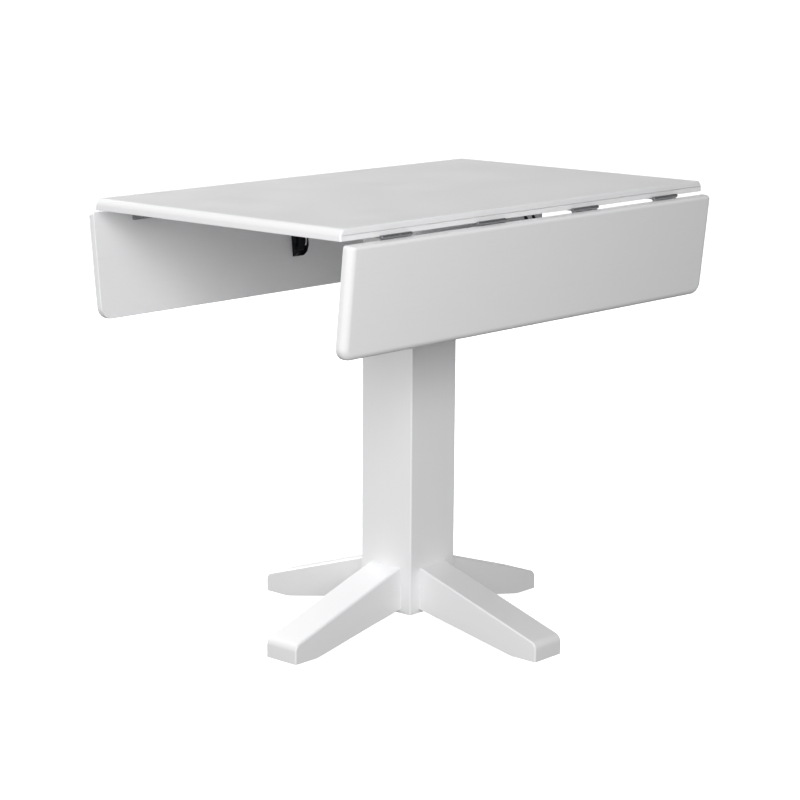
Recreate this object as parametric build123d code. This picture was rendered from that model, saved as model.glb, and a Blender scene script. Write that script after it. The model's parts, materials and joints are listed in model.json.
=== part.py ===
from build123d import *
import math
import os

os.makedirs("parts", exist_ok=True)

# Frame: millimetres, +Z up. The origin is on the floor, under the middle of the post.
# X runs along the hinge lines, Y across them. "front" is the -Y side, "back" the +Y side,
# "left" the -X side and "right" the +X side.

# ---- table top and leaves -------------------------------------------------------------
TABLE_HEIGHT = 760.0
BOARD = 19.0  # thickness of the solid wood top and leaves
TOP_LENGTH = 926.0  # along X, the same for the top and both leaves
TOP_WIDTH = 548.0  # along Y, between the two hinge edges
LEAF_DEPTH = 177.0  # hinge edge to outer edge
EDGE_ROUND = 12.0  # round-over of the outer edges, upper side
HINGE_EDGE_ROUND = 3.0  # softened arris of the top along the hinges
LEAF_HINGE_ROUND = 5.0  # fuller round of a leaf's hinge edge
UNDER_ROUND = 1.2  # softened arris on the underside
LEAF_CORNER = 22.0  # plan radius of the outer leaf corners
TOP_CORNER = 4.0  # plan radius of the four top corners
EDGE_BEAD = 1.4  # width of the fine bead line along the hinge edges
BEAD_DEPTH = 3.0
UNDERSIDE = TABLE_HEIGHT - BOARD

# ---- hinge line -----------------------------------------------------------------------
TOP_GAP = 5.0  # top edge to hinge axis
LEAF_GAP = 4.0  # leaf edge to hinge axis
AXIS_DROP = 0.3  # axis below the underside
AXIS_Y = TOP_WIDTH / 2 + TOP_GAP
AXIS_Z = UNDERSIDE - AXIS_DROP
LEAF_TILT = 5.8  # a free leaf hangs this far past vertical
LEAF_TRAVEL = 90.0 + LEAF_TILT
LEAF_OVERSWING = 2.0  # how far a leaf can still swing inwards

# ---- butt hinges ----------------------------------------------------------------------
HINGE_CENTRES = (-346.0, -121.0, 121.0, 346.0)
HINGE_LENGTH = 68.0
HINGE_PLATE = 1.6
HINGE_REACH = 24.0  # axis to the outer edge of a plate
KNUCKLE_RADIUS = 3.2
HINGE_PIN_RADIUS = 1.6
KNUCKLES = 5
KNUCKLE_GAP = 0.3
PLATE_SETBACK = 3.8  # plate edge facing the other plate's knuckles
HINGE_SCREW_X = (-24.0, 0.0, 24.0)
HINGE_SCREW_U = (13.0, 17.0, 13.0)

# ---- leaf stays -----------------------------------------------------------------------
STAY_PLATE = 2.0
STAY_PIVOT_U = -14.0
STAY_PIVOT_V = -15.0
STAY_ARM = 92.0  # pivot to slide pin
STAY_PIN_V = -7.0  # height of the slide pin under the leaf at both ends of its slot
STAY_PIN_RADIUS = 2.0
STAY_SLOT_CLEARANCE = 0.3
STAY_EYE = 4.5
BRACKET_HALF = 12.0
FLANGE_INNER = 10.0
ARM_HALF = 8.5
TOP_EAR_INNER = 9.0
TOP_EAR_OUTER = 11.0
TOP_BRACKET_START = -62.0
TOP_BRACKET_END = -18.0
LEAF_BRACKET_START = 58.0
LEAF_BRACKET_END = 122.0

# ---- pedestal -------------------------------------------------------------------------
POST_SIDE = 115.0
POST_BOARD = 19.0
POST_BOTTOM = 33.0
POST_ROUND = 3.0
PLATE_SIDE = 325.0
PLATE_THICKNESS = 38.0
POST_TOP = UNDERSIDE - PLATE_THICKNESS
BLOCK_HEIGHT = 60.0
GLUE_LINE = 0.1

# ---- feet -----------------------------------------------------------------------------
FOOT_WIDTH = 69.0
FOOT_REACH = 315.0
FOOT_PAD_START = 264.0
FOOT_UNDER_Z = 40.0  # underside of a foot where it meets the post
FOOT_TOP_Z = 114.5  # top of a foot where it meets the post
FOOT_TIP_Z = 32.0
FOOT_TIP_ROUND = 10.0
FOOT_ARRIS = 3.0
BOLT_HEIGHTS = (64.0, 91.0)

# ---- fasteners ------------------------------------------------------------------------
FIT = 0.05  # radial play round screws and pins
BOLT_RADIUS = 4.0


def prism_x(points, x0, x1):
    """A solid from an outline in the Y-Z plane, between two X positions."""
    outline = make_face(Polyline(*[(0, y, z) for y, z in points], close=True))
    return Pos(x0, 0, 0) * extrude(outline, amount=x1 - x0, dir=(1, 0, 0))


def rod_x(y, z, radius, x0, x1):
    """A round rod parallel to X."""
    turned = Rot(0, 90, 0) * Cylinder(radius, x1 - x0)
    return Pos((x0 + x1) / 2, y, z) * turned


def block(x0, x1, y0, y1, z0, z1):
    """A box between three pairs of limits."""
    centre = Pos((x0 + x1) / 2, (y0 + y1) / 2, (z0 + z1) / 2)
    return centre * Box(x1 - x0, y1 - y0, z1 - z0)


def wood_screw(radius, length, head_radius):
    """A countersunk wood screw, head at z = 0, point down, with a cross recess."""
    head_height = head_radius - radius
    head = Pos(0, 0, -head_height / 2) * Cone(radius, head_radius, head_height)
    point = 1.6 * radius
    shank = Pos(0, 0, -(length - point) / 2) * Cylinder(radius, length - point)
    tip = Pos(0, 0, -length + point / 2) * Cone(0.2, radius, point)
    wing = Box(1.3 * head_radius, 0.24 * head_radius, 1.2 * head_height)
    recess = wing + Rot(0, 0, 90) * wing
    return head + shank + tip - recess


def screw_hole(radius, length, head_radius):
    """The room a countersunk wood screw takes up."""
    height = head_radius - radius
    head = Pos(0, 0, -height / 2) * Cone(radius + FIT, head_radius + FIT, height)
    return head + Pos(0, 0, -length / 2) * Cylinder(radius + FIT, length + 0.2)


def place(shape, side, swing):
    """Put a shape drawn at the hinge axis on one side of the table.

    The shape is drawn with the leaf raised: Y outwards from the axis, Z up.
    swing is how far it then hangs down from that position, in degrees.
    """
    hung = Pos(0, AXIS_Y, AXIS_Z) * Rot(-swing, 0, 0) * shape
    if side == "front":
        hung = Rot(0, 0, 180) * hung
    return hung


def write(name, shapes, colour):
    """Save one named part, or one group of like parts."""
    body = shapes if isinstance(shapes, Part) else Compound(children=list(shapes))
    body.label = name
    body.color = Color(*colour)
    export_step(body, f"parts/{name}.step")


WHITE = (0.93, 0.93, 0.92)
DARK = (0.30, 0.30, 0.32)
BARE_WOOD = (0.80, 0.68, 0.50)
BLACK = (0.09, 0.09, 0.10)
ZINC = (0.62, 0.63, 0.65)

HINGE_SCREW = (1.75, 14.0, 3.4)
STAY_SCREW = (2.0, 15.0, 3.9)
TOP_SCREW = (2.25, 50.0, 4.4)
POST_SCREW = (2.75, 80.0, 5.4)

# Screws of the mounting plate: a ring of eight up into the top, four down into the post.
RING = PLATE_SIDE / 2 - 24.0
TOP_SCREW_SPOTS = [(x, y) for x in (-RING, 0, RING) for y in (-RING, 0, RING) if x or y]
POST_SCREW_SPOTS = [(x, y) for x in (-24.0, 24.0) for y in (-24.0, 24.0)]


# ---- top panel ------------------------------------------------------------------------
def screw_spots(offset):
    """Positions of the hinge screws of one side, seen from the hinge axis."""
    spots = []
    for centre in HINGE_CENTRES:
        for dx, du in zip(HINGE_SCREW_X, HINGE_SCREW_U):
            spots.append((centre + dx, offset * du))
    return spots


STAY_TOP_SPOTS = [(-5.5, -38.0), (5.5, -38.0), (0.0, -53.0)]
STAY_LEAF_SPOTS = [(0.0, 70.0), (0.0, 92.0), (0.0, 113.0)]

# The long edges carry a fine bead line halfway down, where the leaves close up to them.
half_width = TOP_WIDTH / 2
top_slab = block(
    -TOP_LENGTH / 2, TOP_LENGTH / 2, -half_width, half_width, UNDERSIDE, TABLE_HEIGHT
)
top_slab = fillet(top_slab.edges().filter_by(Axis.Z), TOP_CORNER)
upper = top_slab.faces().sort_by(Axis.Z)[-1].edges()
end_edges = [e for e in upper if abs(e.center().X) > TOP_LENGTH / 2 - 0.5]
side_slab = fillet(end_edges, EDGE_ROUND)
long_profile = block(-TOP_LENGTH, TOP_LENGTH, -half_width, half_width, UNDERSIDE, TABLE_HEIGHT)
long_edges = long_profile.faces().sort_by(Axis.Z)[-1].edges().filter_by(Axis.X)
long_profile = fillet(long_edges, HINGE_EDGE_ROUND)
top_panel = side_slab & long_profile
top_panel = fillet(top_panel.faces().sort_by(Axis.Z)[0].edges(), UNDER_ROUND)
bead_z = UNDERSIDE + BOARD * 0.48
for sign in (-1, 1):
    bead = block(
        -TOP_LENGTH,
        TOP_LENGTH,
        -BEAD_DEPTH,
        BEAD_DEPTH,
        bead_z - EDGE_BEAD / 2,
        bead_z + EDGE_BEAD / 2,
    )
    top_panel -= Pos(0, sign * half_width, 0) * bead

for x, y in TOP_SCREW_SPOTS:
    ring_hole = Pos(x, y, POST_TOP) * Rot(180, 0, 0) * screw_hole(*TOP_SCREW)
    top_panel -= ring_hole
for side in ("front", "back"):
    for x, u in screw_spots(-1):
        hole = Pos(x, u, -HINGE_PLATE + AXIS_DROP) * Rot(180, 0, 0) * screw_hole(*HINGE_SCREW)
        top_panel -= place(hole, side, 0)
    for x, u in STAY_TOP_SPOTS:
        hole = Pos(x, u, -STAY_PLATE + AXIS_DROP) * Rot(180, 0, 0) * screw_hole(*STAY_SCREW)
        top_panel -= place(hole, side, 0)
write("top_panel", top_panel, WHITE)


# ---- leaves ---------------------------------------------------------------------------
def make_leaf():
    """One leaf, drawn raised, measured from its hinge axis."""
    near, far = LEAF_GAP, LEAF_GAP + LEAF_DEPTH
    low, high = AXIS_DROP, AXIS_DROP + BOARD
    slab = block(-TOP_LENGTH / 2, TOP_LENGTH / 2, near, far, low, high)
    corners = slab.edges().filter_by(Axis.Z).sort_by(Axis.Y)[-2:]
    slab = fillet(corners, LEAF_CORNER)
    rim = slab.faces().sort_by(Axis.Z)[-1].edges()
    rim = [e for e in rim if e.center().Y > near + 0.5]
    slab = fillet(rim, EDGE_ROUND)
    profile = block(-TOP_LENGTH, TOP_LENGTH, near, far + 10, low, high)
    arris = profile.faces().sort_by(Axis.Z)[-1].edges().sort_by(Axis.Y)[0]
    leaf = slab & fillet(arris, LEAF_HINGE_ROUND)
    leaf = fillet(leaf.faces().sort_by(Axis.Z)[0].edges(), UNDER_ROUND)
    for x, u in screw_spots(1):
        leaf -= Pos(x, u, -HINGE_PLATE + AXIS_DROP) * Rot(180, 0, 0) * screw_hole(*HINGE_SCREW)
    for x, u in STAY_LEAF_SPOTS:
        leaf -= Pos(x, u, -STAY_PLATE + AXIS_DROP) * Rot(180, 0, 0) * screw_hole(*STAY_SCREW)
    return leaf


# ---- butt hinges ----------------------------------------------------------------------
def hinge_plate(direction, knuckle_numbers):
    """One half of a butt hinge: direction -1 goes under the top, +1 under the leaf."""
    low, high = AXIS_DROP - HINGE_PLATE, AXIS_DROP
    half = HINGE_LENGTH / 2
    inner, outer = sorted((direction * PLATE_SETBACK, direction * HINGE_REACH))
    plate = block(-half, half, inner, outer, low, high)
    edges = plate.edges().filter_by(Axis.Z)
    outer_corners = edges.sort_by(Axis.Y)[-2:] if direction > 0 else edges.sort_by(Axis.Y)[:2]
    plate = fillet(outer_corners, 2.5)
    pitch = HINGE_LENGTH / KNUCKLES
    for number in knuckle_numbers:
        x0 = -half + number * pitch + (KNUCKLE_GAP / 2 if number else 0)
        x1 = -half + (number + 1) * pitch - (KNUCKLE_GAP / 2 if number < KNUCKLES - 1 else 0)
        web_in, web_out = sorted((direction * 2.4, direction * (PLATE_SETBACK + 1)))
        plate += block(x0, x1, web_in, web_out, low, high)
        plate += rod_x(0, 0, KNUCKLE_RADIUS, x0, x1)
    bore = HINGE_PIN_RADIUS + FIT
    plate -= rod_x(0, 0, bore, -half - 1, half + 1)
    for dx, du in zip(HINGE_SCREW_X, HINGE_SCREW_U):
        plate -= Pos(dx, direction * du, low) * Rot(180, 0, 0) * screw_hole(*HINGE_SCREW)
    return plate


def hinge_pin():
    """The pin of one hinge, with a low domed head at each end."""
    half = HINGE_LENGTH / 2
    pin = rod_x(0, 0, HINGE_PIN_RADIUS, -half - 0.3, half + 0.3)
    for end in (-1, 1):
        inner, outer = sorted((end * (half + 0.1), end * (half + 1.1)))
        pin += rod_x(0, 0, 2.4, inner, outer)
    return pin


# ---- leaf stays -----------------------------------------------------------------------
# The arm turns about a rivet under the top. Its slide pin runs in a curved slot in the leaf
# bracket, cut to the exact path the pin takes while the arm turns in step with the leaf.
arm_raised = math.degrees(math.asin((STAY_PIVOT_V - STAY_PIN_V) / STAY_ARM))
hang = math.radians(LEAF_TRAVEL)
reach = -STAY_PIN_V + STAY_PIVOT_U * math.sin(hang) + STAY_PIVOT_V * math.cos(hang)
arm_hung = LEAF_TRAVEL - 90 + math.degrees(math.acos(-reach / STAY_ARM))
ARM_RATIO = (arm_hung - arm_raised) / LEAF_TRAVEL


def pin_in_leaf(leaf_drop):
    """Where the slide pin sits in the leaf when the leaf is lowered by leaf_drop degrees."""
    arm = math.radians(arm_raised + ARM_RATIO * leaf_drop)
    y = STAY_PIVOT_U + STAY_ARM * math.cos(arm)
    z = STAY_PIVOT_V - STAY_ARM * math.sin(arm)
    turn = math.radians(leaf_drop)
    return (
        y * math.cos(turn) - z * math.sin(turn),
        y * math.sin(turn) + z * math.cos(turn),
    )


SLOT_STEPS = 24
SLOT_PATH = [
    pin_in_leaf((LEAF_TRAVEL + LEAF_OVERSWING) * i / SLOT_STEPS) for i in range(SLOT_STEPS + 1)
]


def stay_slot(width):
    """The slide pin's slot, a band along its path, cut right through both flanges."""
    radius = width / 2
    upper_side = []
    lower_side = []
    for i, (y, z) in enumerate(SLOT_PATH):
        y0, z0 = SLOT_PATH[max(i - 1, 0)]
        y1, z1 = SLOT_PATH[min(i + 1, SLOT_STEPS)]
        length = math.hypot(y1 - y0, z1 - z0)
        normal_y = -(z1 - z0) / length * radius
        normal_z = (y1 - y0) / length * radius
        upper_side.append((0, y + normal_y, z + normal_z))
        lower_side.append((0, y - normal_y, z - normal_z))
    first = Spline(*upper_side)
    second = Spline(*lower_side)
    start = Line(second @ 0, first @ 0)
    finish = Line(first @ 1, second @ 1)
    face = make_face([first, finish, second, start])
    band = Pos(-20, 0, 0) * extrude(face, amount=40, dir=(1, 0, 0))
    for y, z in (SLOT_PATH[0], SLOT_PATH[-1]):
        band += rod_x(y, z, radius, -20, 20)
    return band


def stay_leaf_bracket():
    """The channel under the leaf: a web screwed to the wood and two slotted flanges."""
    low, high = AXIS_DROP - STAY_PLATE, AXIS_DROP
    start, end = LEAF_BRACKET_START, LEAF_BRACKET_END
    web = block(-BRACKET_HALF, BRACKET_HALF, start, end, low, high)
    flange = [
        (start, high),
        (start, -8.0),
        (start + 8, -14.5),
        (start + 19, -18.0),
        (end - 19, -18.0),
        (end - 7, -13.0),
        (end - 1.5, -6.0),
        (end, -2.0),
        (end, high),
    ]
    cheek = prism_x(flange, 0, BRACKET_HALF - FLANGE_INNER)
    rounded = cheek.edges().filter_by(Axis.X)
    soft = [e for e in rounded if -18.4 < e.center().Z < -4.0]
    cheek = fillet(soft, 3.0)
    bracket = web + Pos(FLANGE_INNER, 0, 0) * cheek + Pos(-BRACKET_HALF, 0, 0) * cheek
    bracket -= stay_slot(2 * (STAY_PIN_RADIUS + STAY_SLOT_CLEARANCE))
    for x, u in STAY_LEAF_SPOTS:
        bracket -= Pos(x, u, low) * Rot(180, 0, 0) * screw_hole(*STAY_SCREW)
    return bracket


def stay_top_bracket():
    """The bracket under the top: a screwed web with two ears for the arm's rivet."""
    low, high = AXIS_DROP - STAY_PLATE, AXIS_DROP
    start, end = TOP_BRACKET_START, TOP_BRACKET_END
    web = block(-TOP_EAR_OUTER, TOP_EAR_OUTER, start, end, low, high)
    web = fillet(web.edges().filter_by(Axis.Z).sort_by(Axis.Y)[:2], 6.0)
    ear = [
        (end - 6, high),
        (end - 5, -4.0),
        (STAY_PIVOT_U - 5, STAY_PIVOT_V),
        (STAY_PIVOT_U + 5, STAY_PIVOT_V),
        (end, -4.0),
        (end, high),
    ]
    thick = TOP_EAR_OUTER - TOP_EAR_INNER
    lug = prism_x(ear, 0, thick) + rod_x(STAY_PIVOT_U, STAY_PIVOT_V, 5, 0, thick)
    bracket = web + Pos(TOP_EAR_INNER, 0, 0) * lug + Pos(-TOP_EAR_OUTER, 0, 0) * lug
    bracket -= rod_x(STAY_PIVOT_U, STAY_PIVOT_V, STAY_PIN_RADIUS + FIT, -20, 20)
    for x, u in STAY_TOP_SPOTS:
        bracket -= Pos(x, u, low) * Rot(180, 0, 0) * screw_hole(*STAY_SCREW)
    return bracket


def stay_arm():
    """The pressed channel arm, drawn pointing outwards from its pivot at the origin."""
    eye = STAY_EYE
    side = block(-ARM_HALF, ARM_HALF, 0, STAY_ARM, -eye, eye)
    side += rod_x(0, 0, eye, -ARM_HALF, ARM_HALF)
    side += rod_x(STAY_ARM, 0, eye, -ARM_HALF, ARM_HALF)
    inside = ARM_HALF - STAY_PLATE
    hollow = block(-inside, inside, -eye - 1, STAY_ARM + eye + 1, -eye + STAY_PLATE, eye + 1)
    arm = side - hollow
    bore = STAY_PIN_RADIUS + FIT
    arm -= rod_x(0, 0, bore, -20, 20)
    arm -= rod_x(STAY_ARM, 0, bore, -20, 20)
    return arm


def headed_pin(half_length, head_radius, head_height):
    """A rivet along X with a low head at each end."""
    pin = rod_x(0, 0, STAY_PIN_RADIUS, -half_length - 0.2, half_length + 0.2)
    for end in (-1, 1):
        inner, outer = sorted((end * half_length, end * (half_length + head_height)))
        head = rod_x(0, 0, head_radius, inner, outer)
        rim = head.faces().sort_by(Axis.X)[0 if end < 0 else -1].edges()
        pin += fillet(rim, head_height * 0.6)
    return pin


arm_place = Pos(0, STAY_PIVOT_U, STAY_PIVOT_V) * Rot(-(arm_raised + ARM_RATIO * LEAF_TRAVEL), 0, 0)
for side in ("front", "back"):
    write(f"{side}_leaf", place(make_leaf(), side, LEAF_TRAVEL), WHITE)
    pins = []
    top_screws = []
    leaf_screws = []
    for number, centre in enumerate(HINGE_CENTRES, start=1):
        fixed = Pos(centre, 0, 0) * hinge_plate(-1, (0, 2, 4))
        moving = Pos(centre, 0, 0) * hinge_plate(1, (1, 3))
        write(f"{side}_hinge_{number}_top_plate", place(fixed, side, 0), DARK)
        write(f"{side}_hinge_{number}_leaf_plate", place(moving, side, LEAF_TRAVEL), DARK)
        pins.append(place(Pos(centre, 0, 0) * hinge_pin(), side, 0))
    write(f"{side}_hinge_pins", pins, DARK)

    seat = AXIS_DROP - HINGE_PLATE
    screw = Rot(180, 0, 0) * wood_screw(*HINGE_SCREW)
    for x, u in screw_spots(-1):
        top_screws.append(place(Pos(x, u, seat) * screw, side, 0))
    for x, u in screw_spots(1):
        leaf_screws.append(place(Pos(x, u, seat) * screw, side, LEAF_TRAVEL))
    write(f"{side}_hinge_top_screws", top_screws, DARK)
    write(f"{side}_hinge_leaf_screws", leaf_screws, DARK)

    write(f"{side}_stay_top_bracket", place(stay_top_bracket(), side, 0), BLACK)
    write(f"{side}_stay_leaf_bracket", place(stay_leaf_bracket(), side, LEAF_TRAVEL), BLACK)
    write(f"{side}_stay_arm", place(arm_place * stay_arm(), side, 0), BLACK)
    rivet = Pos(0, STAY_PIVOT_U, STAY_PIVOT_V) * headed_pin(TOP_EAR_OUTER + 0.1, 4.2, 1.6)
    write(f"{side}_stay_pivot_rivet", place(rivet, side, 0), BLACK)
    slide = arm_place * Pos(0, STAY_ARM, 0) * headed_pin(BRACKET_HALF + 0.4, 4.2, 1.6)
    write(f"{side}_stay_slide_pin", place(slide, side, 0), BLACK)

    seat = AXIS_DROP - STAY_PLATE
    screw = Rot(180, 0, 0) * wood_screw(*STAY_SCREW)
    under_top = [place(Pos(x, u, seat) * screw, side, 0) for x, u in STAY_TOP_SPOTS]
    under_leaf = [place(Pos(x, u, seat) * screw, side, LEAF_TRAVEL) for x, u in STAY_LEAF_SPOTS]
    write(f"{side}_stay_top_screws", under_top, BLACK)
    write(f"{side}_stay_leaf_screws", under_leaf, BLACK)


# ---- mounting plate and post ----------------------------------------------------------
half_plate = PLATE_SIDE / 2
plate = block(-half_plate, half_plate, -half_plate, half_plate, POST_TOP, UNDERSIDE)
plate = fillet(plate.edges().filter_by(Axis.Z), 12.0)
plate = chamfer(plate.faces().sort_by(Axis.Z)[0].edges(), 5.0)
block_half = POST_SIDE / 2 - POST_BOARD - GLUE_LINE
post_block = block(
    -block_half, block_half, -block_half, block_half, POST_TOP - BLOCK_HEIGHT, POST_TOP
)
plate_screws = []
post_screws = []
for x, y in TOP_SCREW_SPOTS:
    spot = Pos(x, y, POST_TOP) * Rot(180, 0, 0)
    plate -= spot * screw_hole(*TOP_SCREW)
    plate_screws.append(spot * wood_screw(*TOP_SCREW))
for x, y in POST_SCREW_SPOTS:
    spot = Pos(x, y, UNDERSIDE)
    plate -= spot * screw_hole(*POST_SCREW)
    post_block -= spot * screw_hole(*POST_SCREW)
    post_screws.append(spot * wood_screw(*POST_SCREW))
write("mounting_plate", plate, WHITE)
write("post_top_block", post_block, BARE_WOOD)
write("plate_to_top_screws", plate_screws, ZINC)
write("plate_to_post_screws", post_screws, ZINC)

# The post is a hollow box of four boards with mitred corners.
half_post = POST_SIDE / 2
column = block(-half_post, half_post, -half_post, half_post, POST_BOTTOM, POST_TOP)
column = fillet(column.edges().filter_by(Axis.Z), POST_ROUND)
column -= block(
    -half_post + POST_BOARD,
    half_post - POST_BOARD,
    -half_post + POST_BOARD,
    half_post - POST_BOARD,
    0,
    TABLE_HEIGHT,
)
for height in BOLT_HEIGHTS:
    column -= rod_x(0, height, BOLT_RADIUS + 0.25, -half_post - 1, half_post + 1)
    column -= Rot(0, 0, 90) * rod_x(0, height, BOLT_RADIUS + 0.25, -half_post - 1, half_post + 1)
mitres = Polyline((GLUE_LINE, 0), (200, 200 - GLUE_LINE), (200, -200 + GLUE_LINE), close=True)
wedge = extrude(make_face(mitres), amount=TABLE_HEIGHT)
SIDES = {"right": 0, "back": 90, "left": 180, "front": 270}
for name, turn in SIDES.items():
    board = column & (Rot(0, 0, turn) * wedge)
    write(f"post_{name}_board", board, WHITE)


# ---- feet -----------------------------------------------------------------------------
def is_underside(edge):
    """Whether a foot edge belongs to the sloping underside."""
    x, z = edge.center().X, edge.center().Z
    slope = FOOT_UNDER_Z / (FOOT_PAD_START - half_post)
    return abs(z - (FOOT_PAD_START - x) * slope) < 1.0


def make_foot():
    """One foot, drawn pointing along +X."""
    side_view = Polyline(
        (half_post, 0, FOOT_UNDER_Z),
        (FOOT_PAD_START, 0, 0),
        (FOOT_REACH, 0, 0),
        (FOOT_REACH, 0, FOOT_TIP_Z),
        (half_post, 0, FOOT_TOP_Z),
        close=True,
    )
    foot = extrude(make_face(side_view), amount=FOOT_WIDTH / 2, dir=(0, 1, 0), both=True)
    tip = [
        e
        for e in foot.edges().filter_by(Axis.Y)
        if e.center().X > FOOT_REACH - 1 and e.center().Z > 1
    ]
    foot = fillet(tip, FOOT_TIP_ROUND)
    inner = half_post + 1
    arris = [
        e
        for e in foot.edges()
        if e.center().X > inner and abs(e.center().Y) > FOOT_WIDTH / 2 - 0.1
    ]
    upper_arris = [e for e in arris if e.center().Z > 1.0 and not is_underside(e)]
    foot = fillet(upper_arris, FOOT_ARRIS)
    for height in BOLT_HEIGHTS:
        foot -= rod_x(0, height, BOLT_RADIUS + FIT, half_post - 1, half_post + 43)
    return foot


foot = make_foot()
washer = rod_x(0, 0, 8.0, 36.9, 38.5) - rod_x(0, 0, BOLT_RADIUS + 0.2, 30, 40)
nut = extrude(RegularPolygon(13.0 / 2, 6, major_radius=False), amount=6.5)
nut = Pos(30.4, 0, 0) * Rot(0, 90, 0) * nut - rod_x(0, 0, BOLT_RADIUS + FIT, 25, 40)
bolt = rod_x(0, 0, BOLT_RADIUS, 26.0, half_post + 40)
bolt = chamfer(bolt.edges().sort_by(Axis.X)[0], 0.8)
bolt = chamfer(bolt.edges().sort_by(Axis.X)[-1], 2.4)
bolts = []
nuts = []
washers = []
for name, turn in SIDES.items():
    write(f"{name}_foot", Rot(0, 0, turn) * foot, WHITE)
    for height in BOLT_HEIGHTS:
        spot = Rot(0, 0, turn) * Pos(0, 0, height)
        bolts.append(spot * bolt)
        nuts.append(spot * nut)
        washers.append(spot * washer)
write("foot_hanger_bolts", bolts, ZINC)
write("foot_bolt_nuts", nuts, ZINC)
write("foot_bolt_washers", washers, ZINC)
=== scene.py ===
import json
import math

import bmesh
import bpy
from bpy.props import FloatProperty, FloatVectorProperty, PointerProperty
from mathutils import Matrix, Vector

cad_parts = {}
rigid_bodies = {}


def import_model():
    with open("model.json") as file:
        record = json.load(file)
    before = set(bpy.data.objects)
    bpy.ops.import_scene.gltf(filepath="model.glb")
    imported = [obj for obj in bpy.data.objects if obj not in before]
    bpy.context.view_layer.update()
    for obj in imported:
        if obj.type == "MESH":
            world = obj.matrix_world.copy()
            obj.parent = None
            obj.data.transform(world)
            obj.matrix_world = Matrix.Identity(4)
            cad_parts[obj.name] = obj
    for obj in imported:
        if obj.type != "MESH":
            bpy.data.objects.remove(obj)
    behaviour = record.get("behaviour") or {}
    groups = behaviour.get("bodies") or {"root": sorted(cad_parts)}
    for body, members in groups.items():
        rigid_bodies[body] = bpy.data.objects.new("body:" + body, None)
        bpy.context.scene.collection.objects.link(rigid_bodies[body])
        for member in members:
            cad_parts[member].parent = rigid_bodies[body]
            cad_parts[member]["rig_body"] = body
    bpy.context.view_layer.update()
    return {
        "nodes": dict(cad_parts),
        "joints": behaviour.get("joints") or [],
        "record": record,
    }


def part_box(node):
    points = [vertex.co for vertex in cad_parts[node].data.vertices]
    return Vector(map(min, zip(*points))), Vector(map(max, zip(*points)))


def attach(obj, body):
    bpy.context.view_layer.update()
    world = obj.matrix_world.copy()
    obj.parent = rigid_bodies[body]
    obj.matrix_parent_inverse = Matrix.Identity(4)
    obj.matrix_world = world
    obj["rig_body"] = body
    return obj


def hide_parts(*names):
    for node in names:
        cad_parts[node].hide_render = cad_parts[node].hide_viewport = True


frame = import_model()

bl_info = {
    "name": "Drop leaf table",
    "version": (1, 0, 0),
    "blender": (4, 5, 0),
    "location": "3D View > Sidebar > Drop leaf table",
    "description": "Painted boards, steel hinges and leaf stays of a pedestal drop leaf table",
    "category": "Object",
}

MM = 0.001
JOINTS = {joint["name"]: joint for joint in frame["joints"]}

# Each side's name, and how far it is turned about the post from the back, where it is drawn.
SIDES = {"back": 0.0, "front": 180.0}
# Each foot's and post board's name, and its turn about the post from the right.
AROUND = {"right": 0.0, "back": 90.0, "left": 180.0, "front": 270.0}

BEAD_HEIGHT = 0.48  # height of the bead line, as a share of the board's thickness
SOFT_EDGE = 0.8 * MM  # lightly sanded edges of the plate and the undersides of the feet
MITRE_OPEN = 0.02 * MM  # how far each mitre is cut back from the post's corner line
FOOT_TIP_HEIGHT = 32.0 * MM
FOOT_PAD_START = 264.0 * MM  # where a foot's flat pad starts, from the middle of the post
FOOT_UNDER_HEIGHT = 40.0 * MM  # underside of a foot where it meets the post
SURROUND_STRENGTH = 0.18


# ---- colours --------------------------------------------------------------------------
def linear(hex_colour):
    """An sRGB colour such as F2F2F0 as linear red, green, blue and alpha."""
    values = [int(hex_colour[i : i + 2], 16) / 255 for i in (0, 2, 4)]
    linear_part = [v / 12.92 if v <= 0.04045 else ((v + 0.055) / 1.055) ** 2.4 for v in values]
    return (*linear_part, 1.0)


def colour(name, hex_colour, description):
    """A colour setting with its default given as sRGB hex."""
    return FloatVectorProperty(
        name=name,
        description=description,
        subtype="COLOR",
        size=4,
        min=0.0,
        max=1.0,
        default=linear(hex_colour),
    )


def length(name, millimetres, description):
    """A length setting with its default given in millimetres."""
    return FloatProperty(
        name=name,
        description=description,
        subtype="DISTANCE",
        unit="LENGTH",
        min=0.0,
        default=millimetres * MM,
    )


# ---- settings -------------------------------------------------------------------------
class TABLE_PG_joinery(bpy.types.PropertyGroup):
    """Rounds, bead and worn edges that a maker would choose."""

    edge_round: length("Edge round", 12.0, "Round-over of the outer edges of top and leaves")
    hinge_round: length("Top hinge edge round", 3.0, "Softened edge of the top at the hinges")
    leaf_round: length("Leaf hinge edge round", 5.0, "Fuller round of a leaf's hinge edge")
    under_round: length("Underside round", 1.2, "Softened edge of the underside")
    leaf_corner: length("Leaf corner", 22.0, "Radius of a leaf's two free corners")
    bead_width: length("Bead width", 1.4, "Width of the fine line along the hinge edges")
    bead_depth: length("Bead depth", 3.0, "Depth of the fine line along the hinge edges")
    post_round: length("Post round", 3.0, "Softened upright corners of the post")
    foot_tip_round: length("Foot tip round", 10.0, "Round where a foot's top meets its end")
    foot_round: length("Foot round", 3.0, "Softened long edges of a foot")
    plate_corner: length("Plate corner", 12.0, "Corner radius of the mounting plate")
    plate_chamfer: length("Plate chamfer", 5.0, "Chamfer round the mounting plate")
    steel_edge: length("Steel edge", 0.25, "Worn edge of the pressed steel parts")


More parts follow.
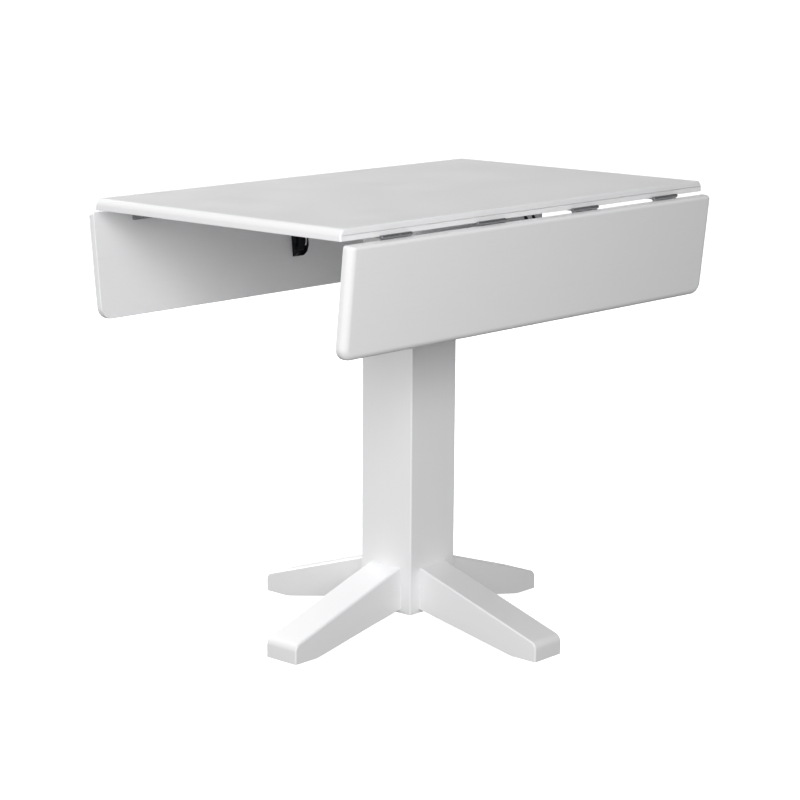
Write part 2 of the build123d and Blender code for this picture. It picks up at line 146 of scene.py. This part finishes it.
class TABLE_PG_finishes(bpy.types.PropertyGroup):
    """Colours of the paint, steel and bare wood."""

    paint: colour("Paint", "F1F1F2", "Satin white paint")
    paint_thin: colour("Thin paint", "E9E9EA", "Paint where the grain shows through a little")
    black: colour("Black steel", "232528", "Black finish of the leaf stays")
    black_rubbed: colour("Rubbed steel", "505256", "Where the black finish has rubbed thin")
    nickel: colour("Dark nickel", "98999C", "Dark nickel plating of the hinges")
    # Lighter specks on the hinges: painted highlights that stand in for glints on the knuckles, not
    # real wear.
    nickel_glint: colour("Nickel glint specks", "C4C5C8", "Lighter specks of worn hinge plating")
    zinc: colour("Zinc", "B9BDC2", "Zinc plated screws and bolts")
    zinc_dull: colour("Dull zinc", "8F9499", "Duller patches of the zinc")
    pine: colour("Pine", "E2C08C", "Bare pine inside the post")
    pine_dark: colour("Pine late wood", "B98750", "Darker rings of the pine")
    floor: colour("Floor", "FFFFFF", "Plain pale studio floor")


class TABLE_PG_stage(bpy.types.PropertyGroup):
    """Camera and lights."""

    camera_place: FloatVectorProperty(
        name="Camera place",
        description="Where the camera stands",
        subtype="TRANSLATION",
        unit="LENGTH",
        default=(-2.9853, -2.6507, 1.2172),
    )
    camera_turn: FloatProperty(
        name="Camera turn",
        description="Direction the camera looks in, seen from above, from +Y",
        subtype="ANGLE",
        unit="ROTATION",
        default=math.radians(-48.179),
    )
    camera_dip: FloatProperty(
        name="Camera dip",
        description="How far the camera looks down",
        subtype="ANGLE",
        unit="ROTATION",
        default=math.radians(11.630),
    )
    camera_roll: FloatProperty(
        name="Camera roll",
        description="How far the camera leans to one side",
        subtype="ANGLE",
        unit="ROTATION",
        default=math.radians(0.368),
    )
    lens: FloatProperty(
        name="Lens",
        description="Focal length on a 36 mm wide sensor, in millimetres",
        min=10.0,
        default=106.457,
    )
    brightness: FloatProperty(
        name="Brightness",
        description="How strong all the lamps are together",
        min=0.0,
        default=1.0,
    )


def joinery():
    return bpy.context.scene.table_joinery


def finishes():
    return bpy.context.scene.table_finishes


def stage_settings():
    return bpy.context.scene.table_stage


# ---- modelling ------------------------------------------------------------------------
def deselect():
    """Leave edit mode and select nothing."""
    if bpy.context.mode != "OBJECT":
        bpy.ops.object.mode_set(mode="OBJECT")
    bpy.ops.object.select_all(action="DESELECT")


def choose(piece):
    """Select one piece alone and make it active."""
    deselect()
    piece.select_set(True)
    bpy.context.view_layer.objects.active = piece


def settle(piece):
    """Put a piece's place and turn into its mesh."""
    choose(piece)
    bpy.ops.object.transform_apply(location=True, rotation=True, scale=True)


def cube_between(name, low, high):
    """A cube that fills the space between two corners."""
    deselect()
    bpy.ops.mesh.primitive_cube_add(size=1.0, location=(Vector(low) + Vector(high)) / 2)
    piece = bpy.context.active_object
    piece.name = name
    piece.data.name = name
    piece.scale = Vector(high) - Vector(low)
    settle(piece)
    return piece


def copy_piece(piece, name):
    """A copy with its own mesh."""
    twin = piece.copy()
    twin.data = piece.data.copy()
    twin.name = name
    twin.data.name = name
    bpy.context.scene.collection.objects.link(twin)
    return twin


def pick(piece, kind, test):
    """Open a piece in edit mode with only the edges or faces that pass a test selected."""
    choose(piece)
    bpy.ops.object.mode_set(mode="EDIT")
    bpy.ops.mesh.select_mode(type=kind)
    bpy.ops.mesh.select_all(action="DESELECT")
    mesh = bmesh.from_edit_mesh(piece.data)
    mesh.normal_update()
    for item in mesh.edges if kind == "EDGE" else mesh.faces:
        if test(item):
            item.select_set(True)
    mesh.select_flush_mode()
    bmesh.update_edit_mesh(piece.data)


def done():
    bpy.ops.object.mode_set(mode="OBJECT")


def round_edges(piece, test, radius, segments):
    """Round the edges that pass a test."""
    pick(piece, "EDGE", test)
    bpy.ops.mesh.bevel(
        offset_type="OFFSET", offset=radius, segments=segments, profile=0.5, affect="EDGES"
    )
    done()


def cut(piece, point, normal, keep_all=False):
    """Cut a piece by a plane. The side that the normal points to goes, unless all is kept."""
    pick(piece, "FACE", lambda face: True)
    bpy.ops.mesh.bisect(
        plane_co=point, plane_no=normal, use_fill=not keep_all, clear_outer=not keep_all
    )
    done()


def middle(edge):
    return (edge.verts[0].co + edge.verts[1].co) / 2


def along(edge):
    return (edge.verts[1].co - edge.verts[0].co).normalized()


def near(a, b, slack=0.02 * MM):
    return abs(a - b) < slack


def clean(piece, angle=35.0):
    """Merge doubles, point the faces outwards and shade smoothly up to an angle."""
    pick(piece, "FACE", lambda face: True)
    bpy.ops.mesh.remove_doubles(threshold=0.001 * MM)
    bpy.ops.mesh.normals_make_consistent(inside=False)
    if bmesh.from_edit_mesh(piece.data).calc_volume(signed=True) < 0:
        bpy.ops.mesh.flip_normals()
    done()
    bpy.ops.object.shade_smooth_by_angle(angle=math.radians(angle), keep_sharp_edges=True)
    modifier = piece.modifiers.new("Even shading", "WEIGHTED_NORMAL")
    modifier.keep_sharp = True
    bpy.ops.object.modifier_apply(modifier=modifier.name)


def turned(piece, name, degrees):
    """A copy turned about the post, with its place in its mesh."""
    twin = copy_piece(piece, name)
    twin.rotation_euler = (0.0, 0.0, math.radians(degrees))
    settle(twin)
    return twin


def fit_out(piece, material, slot, body, *nodes):
    """Give a finished piece its material and its body, and hide the CAD nodes it stands for."""
    piece.data.materials.clear()
    piece.data.materials.append(material)
    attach(piece, body)
    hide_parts(*nodes)


def discard(piece):
    bpy.data.objects.remove(piece)


def softened(source, name, radius):
    """A steel part from its CAD shape, with its sharp edges worn round."""
    piece = copy_piece(frame["nodes"][source], name)
    piece.parent = None
    for key in [key for key in piece.keys() if key.startswith("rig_")]:
        del piece[key]
    choose(piece)
    bpy.ops.mesh.customdata_custom_splitnormals_clear()
    pick(piece, "FACE", lambda face: True)
    bpy.ops.mesh.remove_doubles(threshold=0.002 * MM)
    bpy.ops.mesh.dissolve_limited(angle_limit=math.radians(0.5))
    done()
    modifier = piece.modifiers.new("Worn edges", "BEVEL")
    modifier.width = radius
    modifier.segments = 2
    modifier.limit_method = "ANGLE"
    modifier.angle_limit = math.radians(40.0)
    modifier.use_clamp_overlap = True
    bpy.ops.object.modifier_apply(modifier=modifier.name)
    bpy.ops.object.shade_smooth_by_angle(angle=math.radians(40.0), keep_sharp_edges=True)
    modifier = piece.modifiers.new("Even shading", "WEIGHTED_NORMAL")
    bpy.ops.object.modifier_apply(modifier=modifier.name)
    return piece


# ---- materials ------------------------------------------------------------------------
def node(tree, kind, inputs=None, **settings):
    """Add one node. inputs maps a socket to a value or to the socket that feeds it."""
    made = tree.nodes.new(kind)
    for name, value in settings.items():
        setattr(made, name, value)
    for socket, value in (inputs or {}).items():
        if isinstance(value, bpy.types.NodeSocket):
            tree.links.new(value, made.inputs[socket])
        else:
            made.inputs[socket].default_value = value
    return made


def blend(tree, factor, first, second):
    """The socket of a colour that goes from the first to the second with a pattern."""
    colours = {0: factor, 6: tuple(first), 7: tuple(second)}
    return node(tree, "ShaderNodeMix", colours, data_type="RGBA").outputs[2]


def new_material(name):
    """An empty material, its node tree and its output node."""
    material = bpy.data.materials.new(name)
    material.use_nodes = True
    tree = material.node_tree
    tree.nodes.clear()
    output = tree.nodes.new("ShaderNodeOutputMaterial")
    return material, tree, output


def waves_per_metre(millimetres):
    """Texture scale that repeats about once in a real length."""
    return 1000.0 / millimetres


def painted_wood(name, grain):
    """Satin lacquer paint sprayed on solid hardwood boards.

    It gives an even, soft white sheen. Close up there is the fine orange peel of the spray,
    and the long grain of the wood lifts the film a few hundredths of a millimetre.
    grain is the axis that the boards run along: 0, 1 or 2.
    """
    finish = finishes()
    material, tree, output = new_material(name)
    place = node(tree, "ShaderNodeTexCoord").outputs["Object"]

    # Grain lines 2.5 mm apart and about 25 times as long.
    stretch = [waves_per_metre(2.5)] * 3
    stretch[grain] = waves_per_metre(60.0)
    grain_space = node(tree, "ShaderNodeMapping", {"Vector": place, "Scale": stretch})
    lines = node(
        tree,
        "ShaderNodeTexNoise",
        {"Vector": grain_space.outputs[0], "Scale": 1.0, "Detail": 4.0, "Roughness": 0.6},
    )
    # Orange peel 1.4 mm across.
    peel = node(
        tree,
        "ShaderNodeTexNoise",
        {"Vector": place, "Scale": waves_per_metre(1.4), "Detail": 2.0, "Roughness": 0.5},
    )
    # Clouds 90 mm across, where the film is a little thicker or thinner.
    clouds = node(
        tree,
        "ShaderNodeTexNoise",
        {"Vector": place, "Scale": waves_per_metre(90.0), "Detail": 3.0, "Roughness": 0.5},
    )
    thin = node(
        tree,
        "ShaderNodeMapRange",
        {"Value": lines.outputs[0], "From Min": 0.52, "From Max": 0.75, "To Max": 0.22},
    )
    thinner = node(
        tree,
        "ShaderNodeMath",
        {0: clouds.outputs[0], 1: 0.25, 2: thin.outputs[0]},
        operation="MULTIPLY_ADD",
    )
    tint = blend(tree, thinner.outputs[0], finish.paint, finish.paint_thin)
    sheen_map = node(
        tree,
        "ShaderNodeMapRange",
        {
            "Value": clouds.outputs[0],
            "From Min": 0.3,
            "From Max": 0.7,
            "To Min": 0.38,
            "To Max": 0.47,
        },
    )
    raised = node(
        tree,
        "ShaderNodeBump",
        {"Height": lines.outputs[0], "Strength": 0.35, "Distance": 0.05 * MM},
    )
    pebbled = node(
        tree,
        "ShaderNodeBump",
        {
            "Height": peel.outputs[0],
            "Strength": 0.3,
            "Distance": 0.03 * MM,
            "Normal": raised.outputs[0],
        },
    )
    shader = node(
        tree,
        "ShaderNodeBsdfPrincipled",
        {
            "Base Color": tint,
            "Roughness": sheen_map.outputs[0],
            "IOR": 1.5,
            "Normal": pebbled.outputs[0],
        },
    )
    tree.links.new(shader.outputs[0], output.inputs[0])
    return material


def black_steel():
    """Pressed steel with a thin black electroplated finish.

    It is dark with sharp small highlights, slightly mottled, and rubbed grey in fine specks.
    """
    finish = finishes()
    material, tree, output = new_material("Black plated pressed steel")
    place = node(tree, "ShaderNodeTexCoord").outputs["Object"]
    mottle = node(
        tree,
        "ShaderNodeTexNoise",
        {"Vector": place, "Scale": waves_per_metre(4.0), "Detail": 5.0, "Roughness": 0.65},
    )
    grit = node(
        tree,
        "ShaderNodeTexNoise",
        {"Vector": place, "Scale": waves_per_metre(0.5), "Detail": 2.0, "Roughness": 0.5},
    )
    rubbed = node(
        tree,
        "ShaderNodeMapRange",
        {"Value": mottle.outputs[0], "From Min": 0.56, "From Max": 0.78, "To Max": 0.55},
    )
    tint = blend(tree, rubbed.outputs[0], finish.black, finish.black_rubbed)
    gloss = node(
        tree,
        "ShaderNodeMapRange",
        {
            "Value": mottle.outputs[0],
            "From Min": 0.3,
            "From Max": 0.7,
            "To Min": 0.26,
            "To Max": 0.42,
        },
    )
    bump = node(
        tree,
        "ShaderNodeBump",
        {"Height": grit.outputs[0], "Strength": 0.25, "Distance": 0.02 * MM},
    )
    shader = node(
        tree,
        "ShaderNodeBsdfPrincipled",
        {
            "Base Color": tint,
            "Metallic": 0.8,
            "Roughness": gloss.outputs[0],
            "Normal": bump.outputs[0],
        },
    )
    tree.links.new(shader.outputs[0], output.inputs[0])
    return material


def dark_steel():
    """Rolled steel with a dark nickel plating, on the butt hinges.

    It is a mid grey metal, livelier than the stays, with lighter specks that are painted highlights
    standing in for glints on the knuckles.
    """
    finish = finishes()
    material, tree, output = new_material("Dark nickel plated hinge steel")
    place = node(tree, "ShaderNodeTexCoord").outputs["Object"]
    # Specks 2 mm across, and rolling lines 0.4 mm apart along the hinge.
    specks = node(
        tree,
        "ShaderNodeTexNoise",
        {"Vector": place, "Scale": waves_per_metre(2.0), "Detail": 4.0, "Roughness": 0.6},
    )
    rolled = node(
        tree,
        "ShaderNodeMapping",
        {
            "Vector": place,
            "Scale": (waves_per_metre(12.0), waves_per_metre(0.4), waves_per_metre(0.4)),
        },
    )
    lines = node(
        tree,
        "ShaderNodeTexNoise",
        {"Vector": rolled.outputs[0], "Scale": 1.0, "Detail": 2.0, "Roughness": 0.5},
    )
    # Where the specks are lighter, a painted highlight is mixed into the colour as glints.
    glint_specks = node(
        tree,
        "ShaderNodeMapRange",
        {"Value": specks.outputs[0], "From Min": 0.35, "From Max": 0.7},
    )
    tint = blend(tree, glint_specks.outputs[0], finish.nickel, finish.nickel_glint)
    gloss = node(
        tree,
        "ShaderNodeMapRange",
        {
            "Value": specks.outputs[0],
            "From Min": 0.3,
            "From Max": 0.7,
            "To Min": 0.28,
            "To Max": 0.4,
        },
    )
    bump = node(
        tree,
        "ShaderNodeBump",
        {"Height": lines.outputs[0], "Strength": 0.25, "Distance": 0.02 * MM},
    )
    shader = node(
        tree,
        "ShaderNodeBsdfPrincipled",
        {
            "Base Color": tint,
            "Metallic": 1.0,
            "Roughness": gloss.outputs[0],
            "Normal": bump.outputs[0],
        },
    )
    tree.links.new(shader.outputs[0], output.inputs[0])
    return material


def zinc_steel():
    """Bright zinc plated steel, barrel plated with the screws and bolts in bulk.

    It is a cool silver with duller passivated patches and tiny tumbling scratches.
    """
    finish = finishes()
    material, tree, output = new_material("Bright zinc plated steel")
    place = node(tree, "ShaderNodeTexCoord").outputs["Object"]
    patches = node(
        tree,
        "ShaderNodeTexNoise",
        {"Vector": place, "Scale": waves_per_metre(3.0), "Detail": 4.0, "Roughness": 0.6},
    )
    scratches = node(
        tree,
        "ShaderNodeTexVoronoi",
        {"Vector": place, "Scale": waves_per_metre(0.9)},
        feature="DISTANCE_TO_EDGE",
    )
    tint = blend(tree, patches.outputs[0], finish.zinc, finish.zinc_dull)
    gloss = node(
        tree,
        "ShaderNodeMapRange",
        {
            "Value": patches.outputs[0],
            "From Min": 0.3,
            "From Max": 0.7,
            "To Min": 0.24,
            "To Max": 0.44,
        },
    )
    bump = node(
        tree,
        "ShaderNodeBump",
        {"Height": scratches.outputs[0], "Strength": 0.2, "Distance": 0.01 * MM},
    )
    shader = node(
        tree,
        "ShaderNodeBsdfPrincipled",
        {
            "Base Color": tint,
            "Metallic": 1.0,
            "Roughness": gloss.outputs[0],
            "Normal": bump.outputs[0],
        },
    )
    tree.links.new(shader.outputs[0], output.inputs[0])
    return material


def bare_pine():
    """Planed, unfinished pine.

    It is pale and matt, with darker late-wood rings about 19 mm apart along the block.
    """
    finish = finishes()
    material, tree, output = new_material("Planed bare pine")
    place = node(tree, "ShaderNodeTexCoord").outputs["Object"]
    stretched = node(tree, "ShaderNodeMapping", {"Vector": place, "Scale": (1.0, 1.0, 0.08)})
    # A wave texture repeats 20 / (2 pi) times in each unit of its scale.
    rings = node(
        tree,
        "ShaderNodeTexWave",
        {
            "Vector": stretched.outputs[0],
            "Scale": waves_per_metre(3.0) / 20,
            "Distortion": 2.5,
            "Detail": 3.0,
            "Detail Scale": 1.5,
        },
        wave_type="RINGS",
        rings_direction="Z",
    )
    tint = blend(tree, rings.outputs[0], finish.pine, finish.pine_dark)
    bump = node(
        tree,
        "ShaderNodeBump",
        {"Height": rings.outputs[0], "Strength": 0.3, "Distance": 0.05 * MM},
    )
    shader = node(
        tree,
        "ShaderNodeBsdfPrincipled",
        {"Base Color": tint, "Roughness": 0.7, "Normal": bump.outputs[0]},
    )
    tree.links.new(shader.outputs[0], output.inputs[0])
    return material


def studio_floor():
    """Matt white studio floor, lit so evenly that it reads as plain white."""
    material, tree, output = new_material("Matt white studio floor")
    shader = node(
        tree,
        "ShaderNodeBsdfPrincipled",
        {
            "Base Color": tuple(finishes().floor),
            "Roughness": 0.9,
            "Emission Color": tuple(finishes().floor),
            "Emission Strength": 1.0,
        },
    )
    tree.links.new(shader.outputs[0], output.inputs[0])
    return material


MAKERS = {
    "paint_x": lambda: painted_wood("Satin white paint, grain along the top", 0),
    "paint_y": lambda: painted_wood("Satin white paint, grain across", 1),
    "paint_z": lambda: painted_wood("Satin white paint, upright grain", 2),
    "black": black_steel,
    "dark": dark_steel,
    "zinc": zinc_steel,
    "pine": bare_pine,
    "floor": studio_floor,
}
made_materials = {}


def finish_of(key):
    """The material for a finish, made the first time it is wanted."""
    if key not in made_materials:
        made_materials[key] = MAKERS[key]()
    return made_materials[key]


# ---- wooden pieces --------------------------------------------------------------------
class TABLE_OT_top(bpy.types.Operator):
    """Make the fixed table top"""

    bl_idname = "table.top"
    bl_label = "Table top"

    def execute(self, context):
        sizes = joinery()
        low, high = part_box("top_panel")
        top = cube_between("painted_top", low, high)
        round_edges(
            top,
            lambda e: near(middle(e).z, high.z) and near(abs(middle(e).x), high.x),
            sizes.edge_round,
            12,
        )
        round_edges(
            top,
            lambda e: all(near(abs(v.co.y), high.y) for v in e.verts)
            and abs(along(e).y) < 0.5
            and not near(middle(e).z, low.z),
            sizes.hinge_round,
            5,
        )
        round_edges(top, lambda e: all(near(v.co.z, low.z) for v in e.verts), sizes.under_round, 3)
        bead = low.z + BEAD_HEIGHT * (high.z - low.z)
        half = sizes.bead_width / 2
        for height in (bead - half, bead + half):
            cut(top, (0, 0, height), (0, 0, 1), keep_all=True)
        pick(
            top,
            "FACE",
            lambda f: abs(f.normal.y) > 0.99 and abs(f.calc_center_median().z - bead) < half,
        )
        bpy.ops.mesh.inset(thickness=0.0, depth=-sizes.bead_depth)
        done()
        clean(top)
        fit_out(top, finish_of("paint_x"), "white_paint", "table", "top_panel")
        return {"FINISHED"}


def raised_box(name, joint):
    """Corners of a hanging part of the back leaf once it is raised, from its hinge axis."""
    turn = Matrix.Rotation(math.radians(joint["range_deg"][1]), 3, "X")
    origin = Vector(joint["pos_m"])
    points = [turn @ (v.co - origin) for v in frame["nodes"][name].data.vertices]
    low = Vector([min(p[i] for p in points) for i in range(3)])
    high = Vector([max(p[i] for p in points) for i in range(3)])
    return low, high


def hang(piece, joint):
    """Turn a piece drawn raised at the hinge axis to where it hangs at the back."""
    piece.location = joint["pos_m"]
    piece.rotation_euler = (-math.radians(joint["range_deg"][1]), 0.0, 0.0)
    settle(piece)


class TABLE_OT_leaves(bpy.types.Operator):
    """Make the two drop leaves"""

    bl_idname = "table.leaves"
    bl_label = "Drop leaves"

    def execute(self, context):
        sizes = joinery()
        joint = JOINTS["back_leaf_hinge"]
        low, high = raised_box("back_leaf", joint)
        leaf = cube_between("leaf_pattern", low, high)
        round_edges(
            leaf,
            lambda e: abs(along(e).z) > 0.9 and near(middle(e).y, high.y),
            sizes.leaf_corner,
            14,
        )
        round_edges(
            leaf,
            lambda e: near(e.verts[0].co.z, high.z)
            and near(e.verts[1].co.z, high.z)
            and middle(e).y > low.y + MM,
            sizes.edge_round,
            10,
        )
        round_edges(
            leaf,
            lambda e: all(near(v.co.y, low.y) for v in e.verts) and not near(middle(e).z, low.z),
            sizes.leaf_round,
            7,
        )
        round_edges(leaf, lambda e: all(near(v.co.z, low.z) for v in e.verts), sizes.under_round, 3)
        clean(leaf)
        hang(leaf, joint)
        for side, turn in SIDES.items():
            piece = turned(leaf, f"painted_{side}_leaf", turn)
            fit_out(
                piece, finish_of("paint_x"), "white_paint", f"{side}_leaf_body", f"{side}_leaf"
            )
        discard(leaf)
        return {"FINISHED"}


class TABLE_OT_post(bpy.types.Operator):
    """Make the four mitred boards of the post and the mounting plate on it"""

    bl_idname = "table.post"
    bl_label = "Post"

    def execute(self, context):
        sizes = joinery()
        low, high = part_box("post_right_board")
        half = high.x
        thickness = high.x - low.x
        column = cube_between("column", (-half, -half, low.z), (half, half, high.z))
        round_edges(column, lambda e: abs(along(e).z) > 0.9, sizes.post_round, 6)
        round_edges(
            column, lambda e: all(near(v.co.z, low.z) for v in e.verts), 0.5 * sizes.post_round, 2
        )
        for way in (-1.0, 1.0):
            cut(column, (MITRE_OPEN, 0, 0), (-1.0, way, 0))
        cut(column, (half - thickness, 0, 0), (-1.0, 0, 0))
        clean(column)
        for side, turn in AROUND.items():
            board = turned(column, f"painted_post_{side}_board", turn)
            fit_out(board, finish_of("paint_z"), "white_paint", "table", f"post_{side}_board")
        discard(column)

        low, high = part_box("mounting_plate")
        plate = cube_between("painted_mounting_plate", low, high)
        round_edges(plate, lambda e: abs(along(e).z) > 0.9, sizes.plate_corner, 8)
        round_edges(
            plate, lambda e: all(near(v.co.z, low.z) for v in e.verts), sizes.plate_chamfer, 1
        )
        round_edges(
            plate,
            lambda e: len(e.link_faces) == 2
            and 0.5 < e.calc_face_angle() < 1.0
            and middle(e).z < high.z - MM,
            SOFT_EDGE,
            2,
        )
        clean(plate, 30.0)
        fit_out(plate, finish_of("paint_x"), "white_paint", "table", "mounting_plate")
        return {"FINISHED"}


class TABLE_OT_feet(bpy.types.Operator):
    """Make the four tapering feet"""

    bl_idname = "table.feet"
    bl_label = "Feet"

    def execute(self, context):
        sizes = joinery()
        low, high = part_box("right_foot")
        foot = cube_between("foot_pattern", low, high)
        fall = high.z - FOOT_TIP_HEIGHT
        reach = high.x - low.x
        cut(foot, (high.x, 0, FOOT_TIP_HEIGHT), (fall, 0, reach))
        cut(foot, (FOOT_PAD_START, 0, 0), (-FOOT_UNDER_HEIGHT, 0, -(FOOT_PAD_START - low.x)))
        round_edges(
            foot,
            lambda e: near(middle(e).x, high.x) and near(middle(e).z, FOOT_TIP_HEIGHT, 0.1 * MM),
            sizes.foot_tip_round,
            8,
        )
        slope = FOOT_UNDER_HEIGHT / (FOOT_PAD_START - low.x)

        def upper_arris(edge):
            spot = middle(edge)
            on_side = all(near(abs(v.co.y), high.y) for v in edge.verts)
            lengthwise = abs(along(edge).y) < 0.5
            under = spot.z < MM or near(spot.z, (FOOT_PAD_START - spot.x) * slope, MM)
            return on_side and lengthwise and spot.x > low.x + MM and not under

        round_edges(foot, upper_arris, sizes.foot_round, 5)
        round_edges(
            foot,
            lambda e: len(e.link_faces) == 2
            and all(v.co.z < FOOT_UNDER_HEIGHT + MM for v in e.verts)
            and e.calc_face_angle() > 1.2
            and middle(e).x > low.x + MM,
            SOFT_EDGE,
            2,
        )
        clean(foot)
        for side, turn in AROUND.items():
            piece = turned(foot, f"painted_{side}_foot", turn)
            grain = "paint_x" if side in ("left", "right") else "paint_y"
            fit_out(piece, finish_of(grain), "white_paint", "table", f"{side}_foot")
        discard(foot)
        return {"FINISHED"}


# ---- steel pieces ---------------------------------------------------------------------
def steel_piece(name, finish):
    """One steel part with worn edges, on the body its CAD node rides on."""
    piece = softened(name, f"steel_{name}", joinery().steel_edge)
    body = frame["nodes"][name]["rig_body"]
    fit_out(piece, finish_of(finish), f"{finish}_steel", body, name)
    return piece


class TABLE_OT_hinges(bpy.types.Operator):
    """Make the plates of the eight butt hinges"""

    bl_idname = "table.hinges"
    bl_label = "Hinges"

    def execute(self, context):
        for side in SIDES:
            for number in range(1, 5):
                steel_piece(f"{side}_hinge_{number}_top_plate", "dark")
                steel_piece(f"{side}_hinge_{number}_leaf_plate", "dark")
        return {"FINISHED"}


class TABLE_OT_stays(bpy.types.Operator):
    """Make the brackets and arms of the two leaf stays"""

    bl_idname = "table.stays"
    bl_label = "Leaf stays"

    def execute(self, context):
        for side in SIDES:
            for part in ("top_bracket", "leaf_bracket", "arm"):
                steel_piece(f"{side}_stay_{part}", "black")
        return {"FINISHED"}


class TABLE_OT_fastenings(bpy.types.Operator):
    """Finish the pins, rivets, screws, bolts and the block, whose shapes are already final"""

    bl_idname = "table.fastenings"
    bl_label = "Fastenings"

    def execute(self, context):
        keys = {
            "black_steel": "black",
            "dark_steel": "dark",
            "zinc_steel": "zinc",
            "bare_wood": "pine",
        }
        slots = {row["node"]: row["material_slot"] for row in frame["record"]["subparts"]}
        for name, shape in frame["nodes"].items():
            if shape.hide_render:
                continue
            shape.data.materials.clear()
            shape.data.materials.append(finish_of(keys[slots[name]]))
        return {"FINISHED"}


# ---- stage ----------------------------------------------------------------------------
# Each softbox: name, place, width and height in metres, power in watts.
SOFTBOXES = (
    ("Left softbox", (-3.2, 0.3, 1.0), 2.2, 1.8, 29.0),
    ("Camera side softbox", (-2.4, -3.0, 1.8), 2.4, 2.0, 116.0),
    ("Overhead softbox", (0.0, 0.4, 3.0), 2.4, 2.4, 17.0),
    ("Back softbox", (0.2, 3.4, 1.4), 2.2, 1.8, 167.0),
)


class TABLE_OT_stage(bpy.types.Operator):
    """Set the floor, the soft lights and the camera"""

    bl_idname = "table.stage"
    bl_label = "Stage"

    def execute(self, context):
        scene = context.scene
        settings = stage_settings()
        deselect()
        bpy.ops.mesh.primitive_plane_add(size=120.0, location=(0, 0, -0.2 * MM))
        floor = context.active_object
        floor.name = "Studio floor"
        floor.data.materials.append(finish_of("floor"))
        floor.visible_diffuse = False
        floor.visible_shadow = False
        floor.visible_glossy = False

        world = bpy.data.worlds.new("Studio")
        scene.world = world
        world.use_nodes = True
        background = world.node_tree.nodes["Background"]
        background.inputs["Color"].default_value = linear("FFFFFF")
        background.inputs["Strength"].default_value = SURROUND_STRENGTH

        target = Vector((0.0, 0.0, 0.45))
        for name, place, width, height, power in SOFTBOXES:
            lamp = bpy.data.lights.new(name, "AREA")
            lamp.shape = "RECTANGLE"
            lamp.size = width
            lamp.size_y = height
            lamp.energy = power * settings.brightness
            box = bpy.data.objects.new(name, lamp)
            box.location = place
            box.rotation_euler = (Vector(place) - target).to_track_quat("Z", "Y").to_euler()
            scene.collection.objects.link(box)

        lens = bpy.data.cameras.new("Studio camera")
        lens.sensor_width = 36.0
        lens.lens = settings.lens
        camera = bpy.data.objects.new("Studio camera", lens)
        turn = Matrix.Rotation(settings.camera_turn, 4, "Z")
        dip = Matrix.Rotation(math.radians(90.0) - settings.camera_dip, 4, "X")
        roll = Matrix.Rotation(settings.camera_roll, 4, "Z")
        place = Matrix.Translation(settings.camera_place)
        camera.matrix_world = place @ turn @ dip @ roll
        scene.collection.objects.link(camera)
        scene.camera = camera
        scene.view_settings.view_transform = "Standard"
        return {"FINISHED"}


class TABLE_PT_panel(bpy.types.Panel):
    """Sidebar panel with the settings and one button for each group of pieces"""

    bl_label = "Drop leaf table"
    bl_idname = "TABLE_PT_panel"
    bl_space_type = "VIEW_3D"
    bl_region_type = "UI"
    bl_category = "Drop leaf table"

    def draw(self, context):
        scene = context.scene
        for group in (scene.table_joinery, scene.table_finishes, scene.table_stage):
            box = self.layout.box()
            for name in group.__annotations__:
                box.prop(group, name)
        for operator in OPERATORS:
            self.layout.operator(operator.bl_idname)


GROUPS = (TABLE_PG_joinery, TABLE_PG_finishes, TABLE_PG_stage)
OPERATORS = (
    TABLE_OT_top,
    TABLE_OT_leaves,
    TABLE_OT_post,
    TABLE_OT_feet,
    TABLE_OT_hinges,
    TABLE_OT_stays,
    TABLE_OT_fastenings,
    TABLE_OT_stage,
)


def register():
    for kind in (*GROUPS, *OPERATORS, TABLE_PT_panel):
        bpy.utils.register_class(kind)
    bpy.types.Scene.table_joinery = PointerProperty(type=TABLE_PG_joinery)
    bpy.types.Scene.table_finishes = PointerProperty(type=TABLE_PG_finishes)
    bpy.types.Scene.table_stage = PointerProperty(type=TABLE_PG_stage)


def unregister():
    del bpy.types.Scene.table_stage
    del bpy.types.Scene.table_finishes
    del bpy.types.Scene.table_joinery
    for kind in (TABLE_PT_panel, *reversed(OPERATORS), *reversed(GROUPS)):
        bpy.utils.unregister_class(kind)


def main():
    """Register the add-on and build every piece in order."""
    register()
    bpy.ops.table.top()
    bpy.ops.table.leaves()
    bpy.ops.table.post()
    bpy.ops.table.feet()
    bpy.ops.table.hinges()
    bpy.ops.table.stays()
    bpy.ops.table.fastenings()
    bpy.ops.table.stage()


if __name__ == "__main__":
    main()
